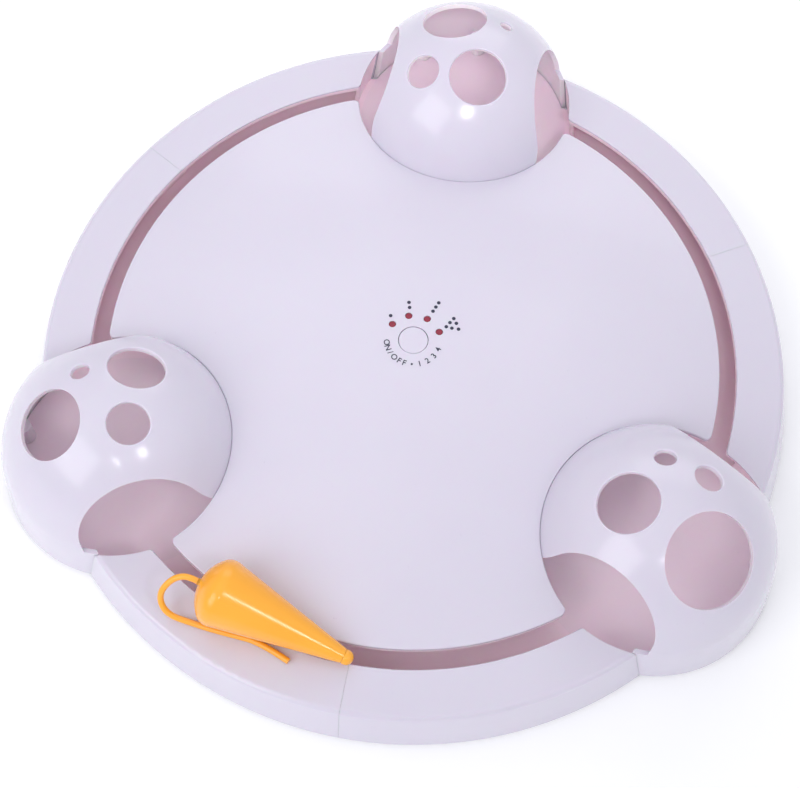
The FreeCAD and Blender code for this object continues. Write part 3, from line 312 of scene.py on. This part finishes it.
# %% Metals
def turned_metal(name, light, deep, rough=0.3):
    """Fine rings left by turning or drawing, along the upright axis."""
    finish = Finish(name, rough, metal=1.0)
    stretch = finish.node("ShaderNodeMapping", {}, {0: finish.place, "Scale": (60.0, 60.0, 2200.0)}).outputs[0]
    rings = Signal(finish, finish.node("ShaderNodeTexNoise", {}, {"Vector": stretch, "Scale": 1.0}).outputs[0])
    finish.colour(finish.mixed(rings, light, deep))
    finish.rough(rings * 0.2 + (rough - 0.08))
    finish.bump(rings, 0.00001, 0.4)
    return finish.material


# %% [markdown]
# ## Mouse, lenses, cells, board and ink
# The mouse is glossy yellow-orange with faint flow lines. The small red windows, the cells' wraps, the board's
# lacquer and the printed ink each get the one or two marks that make the real material readable.

# %% Mouse plastic, light lenses, cell wrap and board
def mouse_plastic(name, rough):
    """Yellow-orange plastic, translucent on the real toy; here its tone drifts a little at random, with faint flow
    lines in its gloss.
    """
    finish = Finish(name, rough, coat=0.3)
    body = finish.clouds(0.03, 2.0)
    flow = finish.clouds(0.006, 3.0, 0.6)
    finish.colour(finish.mixed(body, rgba(255, 181, 55), rgba(252, 166, 40)))
    finish.rough(flow * 0.12 + (rough - 0.04))
    finish.bump(finish.clouds(0.003, 2.0), 0.00003, 0.3)
    return finish.material


def lens_plastic(name):
    """Dark red lens, mottled a little between two reds."""
    finish = Finish(name, 0.12, coat=0.5)
    mottle = finish.clouds(0.0012, 2.0)
    finish.colour(finish.mixed(mottle, rgba(160, 34, 62), rgba(110, 18, 44)))
    finish.rough(mottle * 0.1 + 0.1)
    return finish.material


band_start = 0.0165            # distance along the cell at which its copper band starts


def cell_wrap(name):
    """Printed foil wrap: a dark sleeve with a copper-coloured band near one end, and no lettering."""
    finish = Finish(name, 0.25, coat=0.3)
    x = finish.parts_of_place()[0]
    from_middle = (x * x) ** 0.5
    scuffs = (finish.clouds(0.004, 4.0, 0.7) * 2.0 - 0.9).clamped()
    wrap = finish.mixed(from_middle.over(band_start), rgba(38, 42, 52), rgba(176, 112, 62))
    finish.colour(finish.mixed(scuffs * 0.25, wrap, rgba(120, 120, 128)))
    finish.rough(scuffs * 0.3 + 0.22)
    return finish.material


def board_lacquer(name):
    """Green lacquer with faint copper tracks under it."""
    finish = Finish(name, 0.35, coat=0.3)
    weave = finish.node("ShaderNodeTexBrick", {"offset": 0.5}, {
        "Vector": finish.place, "Scale": 90.0, "Mortar Size": 0.03,
        "Color1": rgba(18, 92, 48), "Color2": rgba(24, 104, 56), "Mortar": rgba(58, 140, 78)}).outputs["Color"]
    finish.colour(finish.mixed(finish.clouds(0.01, 3.0), weave, rgba(16, 80, 42)))
    finish.rough(finish.clouds(0.003, 2.0) * 0.2 + 0.25)
    return finish.material


def ink(name):
    """Printed dark ink, a little uneven where it took to the plastic."""
    finish = Finish(name, 0.5)
    finish.colour(finish.mixed(finish.clouds(0.0007, 2.0), rgba(34, 34, 56), rgba(60, 58, 84)))
    finish.rough(finish.clouds(0.001, 2.0) * 0.2 + 0.4)
    return finish.material


# %% [markdown]
# ## Dressing the solids
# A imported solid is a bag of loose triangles. It takes any finish, but it cannot be shaded smoothly and its edges
# are knife-sharp, while a moulded edge is round and catches a thin line of light. So each piece that shows gets a
# copy: its doubles are merged, its sharp edges are beveled by a fraction of a millimetre, and it is shaded smooth
# by angle. The hidden pieces keep their own mesh and only take a finish.

# %% Helpers for the dressed copies
def only(piece):
    bpy.ops.object.select_all(action="DESELECT")
    piece.select_set(True)
    bpy.context.view_layer.objects.active = piece


def body_named(node):
    return next(body for body, nodes in frame["record"]["behaviour"]["bodies"].items() if node in nodes)


def slot_named(node):
    return next(part["material_slot"] for part in frame["record"]["subparts"] if part["node"] == node)


def dress(node, material, edge=0.0, angle=32.0, reshape=None):
    """A merged and softened copy of a solid, which stands for it. Reshape moves its points before the softening."""
    piece = frame["nodes"][node].copy()
    piece.data = frame["nodes"][node].data.copy()
    piece.name = node + "_dressed"
    piece.parent = None
    for key in list(piece.keys()):
        del piece[key]
    bpy.context.scene.collection.objects.link(piece)
    only(piece)
    bpy.ops.object.mode_set(mode="EDIT")
    bpy.ops.mesh.select_all(action="SELECT")
    bpy.ops.mesh.remove_doubles(threshold=0.000002)
    bpy.ops.mesh.dissolve_limited(angle_limit=math.radians(0.05))
    bpy.ops.object.mode_set(mode="OBJECT")
    if reshape:
        for point in piece.data.vertices:
            point.co = reshape(point.co)
    if edge:
        bevel = piece.modifiers.new("soft edge", "BEVEL")
        bevel.width = edge
        bevel.segments = 2
        bevel.limit_method = "ANGLE"
        bevel.angle_limit = math.radians(angle)
        bevel.use_clamp_overlap = True
        bpy.ops.object.modifier_apply(modifier=bevel.name)
    bpy.ops.object.shade_smooth_by_angle(angle=math.radians(angle))
    level = piece.modifiers.new("level faces", "WEIGHTED_NORMAL")
    level.mode = "FACE_AREA"
    level.weight = 50
    level.keep_sharp = True
    bpy.ops.object.modifier_apply(modifier=level.name)
    piece.data.materials.clear()
    piece.data.materials.append(material)
    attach(piece, body_named(node))
    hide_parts(node)
    return piece


# %% [markdown]
# ## The deck beside the domes
# The solid deck has upright pit walls. In the photograph the deck's edge meets the domes' round sides, so the copy
# that shows leans its pit walls in by up to 2 mm. The solid stays as it is, and differs from the copy there.

# %% The deck's edge beside the domes
dome_height_of_centre = 0.0184
dome_reach = 0.147
dome_radius = 0.0555
pit_radius = 0.0557
hug_gap = 0.00002
lean_reach = 0.0585            # distance from a dome's axis at which the lean begins
lean_width = 0.002             # the width over which it grows to its full amount
lean_above = 0.0055            # height over the dome's middle under which nothing leans
dome_bearings = {"a": 90.0, "b": 210.0, "c": 330.0}


def hug_domes(place):
    """Leans the deck's pit walls in, so that their tops follow the domes' round sides."""
    for bearing in dome_bearings.values():
        axis = Vector((math.cos(math.radians(bearing)), math.sin(math.radians(bearing)), 0.0)) * dome_reach
        away = Vector((place.x - axis.x, place.y - axis.y, 0.0))
        share = max(0.0, min(1.0, (lean_reach - away.length) / lean_width))
        height = place.z - dome_height_of_centre
        if share and lean_above < height < dome_radius:
            lean = pit_radius - hug_gap - math.sqrt(dome_radius ** 2 - height ** 2)
            place = place - away.normalized() * max(0.0, lean) * share
    return place


# %% [markdown]
# ## The pieces that show
# The domes, the ring's sectors, the deck, the button and the mouse get a softened copy each. The inside of the far
# dome is lighter than that of the other two, because more of the light reaches it.

# %% Shells with softened edges
for which, angle in dome_bearings.items():
    towards = Vector((math.cos(math.radians(angle)), math.sin(math.radians(angle)), 0.0))
    centre = towards * dome_reach + Vector((0, 0, dome_height_of_centre))
    # The far dome's inside gets a lighter painted glow than the other two.
    painted_glow_tone = far_dome_inside_painted_glow if which == "a" else dome_inside_painted_glow
    dome_finish = shell_plastic("dome_plastic_" + which, within_dome(centre), painted_glow_tone)
    ring_finish = shell_plastic(
        "ring_plastic_" + which, within_ring(centre), pink_inside_painted_glow, beside_slot(centre))
    dome = dress("dome_" + which, dome_finish, 0.0003)
    ring = dress("ring_sector_" + which, ring_finish)
    print(dome.name, len(dome.data.polygons), ring.name, len(ring.data.polygons))
# The deck's skirt and underside take the ring's pink painted glow.
dress("play_deck", shell_plastic("deck_plastic", under_deck, pink_inside_painted_glow), 0.0002, reshape=hug_domes)
dress("button_cap", shell_plastic("button_plastic"), 0.0002)
dress("mouse_body", mouse_plastic("mouse_plastic", 0.2), 0.0, 50.0)

# %% [markdown]
# ## The pieces inside and below
# These keep their own mesh. Each takes the finish that its material slot names.

# %% Finishes of the pieces inside and below
core_finish = satin_plastic("core_plastic", rgba(205, 201, 214), rgba(194, 190, 204))
steel_finish = turned_metal("screw_steel", rgba(196, 198, 204), rgba(150, 152, 160), 0.28)
finishes = {
    "core_plastic": core_finish,
    "door_plastic": satin_plastic("door_plastic", rgba(208, 204, 218), rgba(198, 193, 209)),
    "gear_plastic": satin_plastic("gear_plastic", rgba(232, 230, 218), rgba(220, 217, 203), 0.0003),
    "rotor_plastic": satin_plastic("rotor_plastic", rgba(178, 172, 184), rgba(165, 160, 172)),
    "steel": steel_finish,
    "motor_steel": turned_metal("motor_steel", rgba(200, 202, 206), rgba(170, 172, 178), 0.34),
    "contact_nickel": turned_metal("contact_nickel", rgba(214, 210, 198), rgba(180, 176, 164), 0.3),
    "brass": turned_metal("brass", rgba(222, 186, 110), rgba(186, 146, 74), 0.26),
    "cell_wrap": cell_wrap("cell_wrap"),
    "board_green": board_lacquer("board_lacquer"),
    "part_black": satin_plastic("part_black", rgba(38, 38, 42), rgba(26, 26, 30), 0.0003),
    "foot_rubber": soft_rubber("foot_rubber", rgba(176, 172, 180), rgba(140, 136, 144)),
    "tyre_rubber": soft_rubber("tyre_rubber", rgba(62, 62, 66), rgba(34, 34, 38)),
    "light_lens": lens_plastic("light_lens"),
}
for node, solid in frame["nodes"].items():
    if slot_named(node) in finishes:
        solid.data.materials.clear()
        solid.data.materials.append(finishes[slot_named(node)])
print("finishes", len(finishes))

# %% [markdown]
# ## The mouse's tail
# The tail is a limp moulded cord. It leaves the rear of the mouse, bends outwards and down in a loop, and lies
# along the rim. A smooth curve through the air is what a limp cord makes, so its points are the control points of
# one NURBS spline, and the round section comes from the curve's own bevel.

# %% Tail
mouse_rear = Vector((-0.07129, -0.13752, 0.04546))
tail_route = [
    mouse_rear, Vector((-0.07537, -0.13649, 0.04634)), Vector((-0.0796, -0.1370, 0.0456)),
    Vector((-0.0834, -0.1388, 0.0434)), Vector((-0.0870, -0.1427, 0.0398)), Vector((-0.0876, -0.1460, 0.0356)),
    Vector((-0.0855, -0.1493, 0.0318)), Vector((-0.0812, -0.1511, 0.0289)), Vector((-0.0737, -0.1518, 0.0274)),
    Vector((-0.0650, -0.1530, 0.0274)), Vector((-0.0546, -0.1539, 0.0274)), Vector((-0.0406, -0.1548, 0.0274)),
    Vector((-0.0264, -0.1610, 0.0274)),
]
tail_diameter = 0.0029
tail_curve = bpy.data.curves.new("mouse_tail_cord", "CURVE")
tail_curve.dimensions = "3D"
spline = tail_curve.splines.new("NURBS")
spline.points.add(len(tail_route) - 1)
for point, place in zip(spline.points, tail_route):
    point.co = (*place, 1.0)
spline.order_u = 3
spline.use_endpoint_u = True
spline.resolution_u = 10
tail_curve.bevel_depth = tail_diameter / 2
tail_curve.bevel_resolution = 5
tail_curve.use_fill_caps = True
tail = bpy.data.objects.new("mouse_tail_cord", tail_curve)
bpy.context.scene.collection.objects.link(tail)
tail_curve.materials.append(mouse_plastic("tail_plastic", 0.34))
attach(tail, "rotor")
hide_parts("mouse_tail")

# %% [markdown]
# ## The printed marks
# Beside each light the deck carries dots, from one to six, that say how fast the mouse runs, and under the button
# an arc of plain lettering. Ink is a skin on the plastic, so each mark is a very thin disc or letter that sits on
# the crowned deck.

# %% Dots
crown_rise, crown_reach, deck_edge = 0.010, 0.148, 0.0271
crown_ball = (crown_reach ** 2 + crown_rise ** 2) / (2 * crown_rise)


def deck_height(x, y):
    return deck_edge + crown_rise - crown_ball + math.sqrt(crown_ball ** 2 - x * x - y * y)


ink_finish = ink("dark_ink")
ink_depth = 0.00004
dot_radius = 0.0009
dots = [
    (17.0, 140.4), (17.6, 106.3), (20.4, 106.3), (18.2, 69.0), (20.9, 69.0), (23.6, 69.0), (17.4, 34.9),
    (19.6, 29.7), (20.0, 38.6), (22.5, 25.8), (22.6, 34.1), (22.7, 41.3),
]


def finish_print(pieces, name):
    """Joins printed marks into one piece on the deck."""
    bpy.ops.object.select_all(action="DESELECT")
    for piece in pieces:
        piece.select_set(True)
    bpy.context.view_layer.objects.active = pieces[0]
    bpy.ops.object.join()
    joined = bpy.context.object
    joined.name = name
    bpy.ops.object.transform_apply(location=True, rotation=True, scale=True)
    joined.data.materials.clear()
    joined.data.materials.append(ink_finish)
    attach(joined, "base")
    return joined


marks = []
for reach, bearing in dots:
    x = reach / 1000 * math.cos(math.radians(bearing))
    y = reach / 1000 * math.sin(math.radians(bearing))
    bpy.ops.object.select_all(action="DESELECT")
    bpy.ops.mesh.primitive_cylinder_add(
        vertices=28, radius=dot_radius, depth=2 * ink_depth, location=(x, y, deck_height(x, y)))
    mark = bpy.context.object
    bpy.ops.object.mode_set(mode="EDIT")
    bpy.ops.mesh.select_all(action="SELECT")
    bpy.ops.mesh.bevel(offset=ink_depth / 2, segments=1)
    bpy.ops.object.mode_set(mode="OBJECT")
    marks.append(mark)
print("dots", len(marks), finish_print(marks, "speed_dots").name)

# %% [markdown]
# ## The lettering
# The words in the photograph aren't copied: a plain ON/OFF and the figures 1 to 4 stand in their place.

# %% Lettering round the button
letter_height = 0.0028
legend_reach = 0.0129


def letter(character, bearing):
    """One letter, its top towards the button."""
    bpy.ops.object.select_all(action="DESELECT")
    bpy.ops.object.text_add(location=(0, 0, 0))
    text = bpy.context.object
    text.data.body = character
    text.data.size = letter_height / 0.7
    text.data.extrude = ink_depth
    text.data.offset = 0.00004
    text.data.align_x = "CENTER"
    text.data.align_y = "CENTER"
    x = legend_reach * math.cos(math.radians(bearing))
    y = legend_reach * math.sin(math.radians(bearing))
    bpy.ops.object.convert(target="MESH")
    shape = bpy.context.object
    shape.matrix_world = Matrix.Translation((x, y, deck_height(x, y))) @ Matrix.Rotation(
        math.radians(bearing + 90.0), 4, "Z")
    return shape


legend = [("O", 196.0), ("N", 209.0), ("/", 221.5), ("O", 235.0), ("F", 248.5), ("F", 260.5)]
legend += [("•", 277.0), ("1", 294.0), ("2", 312.0), ("3", 330.0), ("4", 348.0)]
letters = [letter(character, bearing) for character, bearing in legend]
print("letters", len(letters), finish_print(letters, "button_legend").name)

# %% [markdown]
# ## The floor
# The toy stands on a white sweep that runs out of the picture. The paper glows a little, as an overlit sweep does.

# %% Floor
floor_size = 6.0
floor_glow = 0.08
bpy.ops.object.select_all(action="DESELECT")
bpy.ops.mesh.primitive_plane_add(size=floor_size, location=(0, 0, 0))
floor = bpy.context.object
floor.name = "studio_floor"
paper = Finish("studio_paper", 0.8)
paper.colour(paper.mixed(paper.clouds(0.4, 2.0), rgba(250, 250, 252), rgba(247, 247, 250)))
paper.main.inputs["Emission Color"].default_value = (1.0, 1.0, 1.0, 1.0)
paper.main.inputs["Emission Strength"].default_value = floor_glow
floor.data.materials.append(paper.material)

# %% [markdown]
# ## The lamps
# Four soft boxes light the toy from the left front, from above, from the right and from behind, so that its shadow
# is faint and wide. Two small soft spots lift the far dome and the left dome, which the boxes leave too dark. The
# spots leave a small bright dot on each of the two, where the photograph's highlights are broader.

# %% Lamps
spot_softness = 0.18


def hang(name, lamp, place, aim):
    """Puts a lamp at a place and turns it towards its aim."""
    holder = bpy.data.objects.new(name, lamp)
    bpy.context.scene.collection.objects.link(holder)
    look = Vector(aim) - Vector(place)
    holder.matrix_world = Matrix.Translation(place) @ look.to_track_quat("-Z", "Y").to_matrix().to_4x4()


def soft_box(name, place, aim, size, power):
    lamp = bpy.data.lights.new(name, "AREA")
    lamp.shape = "RECTANGLE"
    lamp.size, lamp.size_y = size
    lamp.energy = power
    hang(name, lamp, place, aim)


def spot(name, place, aim, cone, power):
    """A small soft spot whose cone fades all the way to its edge."""
    lamp = bpy.data.lights.new(name, "SPOT")
    lamp.spot_size = math.radians(cone)
    lamp.spot_blend = 1.0
    lamp.shadow_soft_size = spot_softness
    lamp.energy = power
    hang(name, lamp, place, aim)


soft_box("key_box", (-0.9, -1.0, 1.2), (0, 0, 0.03), (1.1, 1.1), 9.0)
soft_box("top_box", (0.0, 0.1, 1.8), (0, 0, 0), (2.2, 2.0), 3.0)
soft_box("right_box", (1.6, 0.1, 1.1), (0, 0, 0.03), (1.4, 1.0), 0.8)
soft_box("back_box", (0.0, 1.6, 1.1), (0, 0, 0.03), (1.6, 1.0), 5.0)
spot("far_dome_spot", (0.2, -0.7, 1.2), (0.0, 0.15, 0.06), 17.0, 27.0)
spot("left_dome_spot", (0.7, -0.5, 1.2), (-0.115, -0.085, 0.06), 12.0, 22.0)

# %% [markdown]
# ## The surroundings
# A pale, slightly cool world fills the shadows, and the plain view transform keeps the white floor white.

# %% World and view
world_tint = (0.96, 0.97, 1.0, 1.0)
world_strength = 0.735
world = bpy.data.worlds.new("studio_world")
bpy.context.scene.world = world
world.use_nodes = True
world.node_tree.nodes["Background"].inputs["Color"].default_value = world_tint
world.node_tree.nodes["Background"].inputs["Strength"].default_value = world_strength
bpy.context.scene.view_settings.view_transform = "Standard"
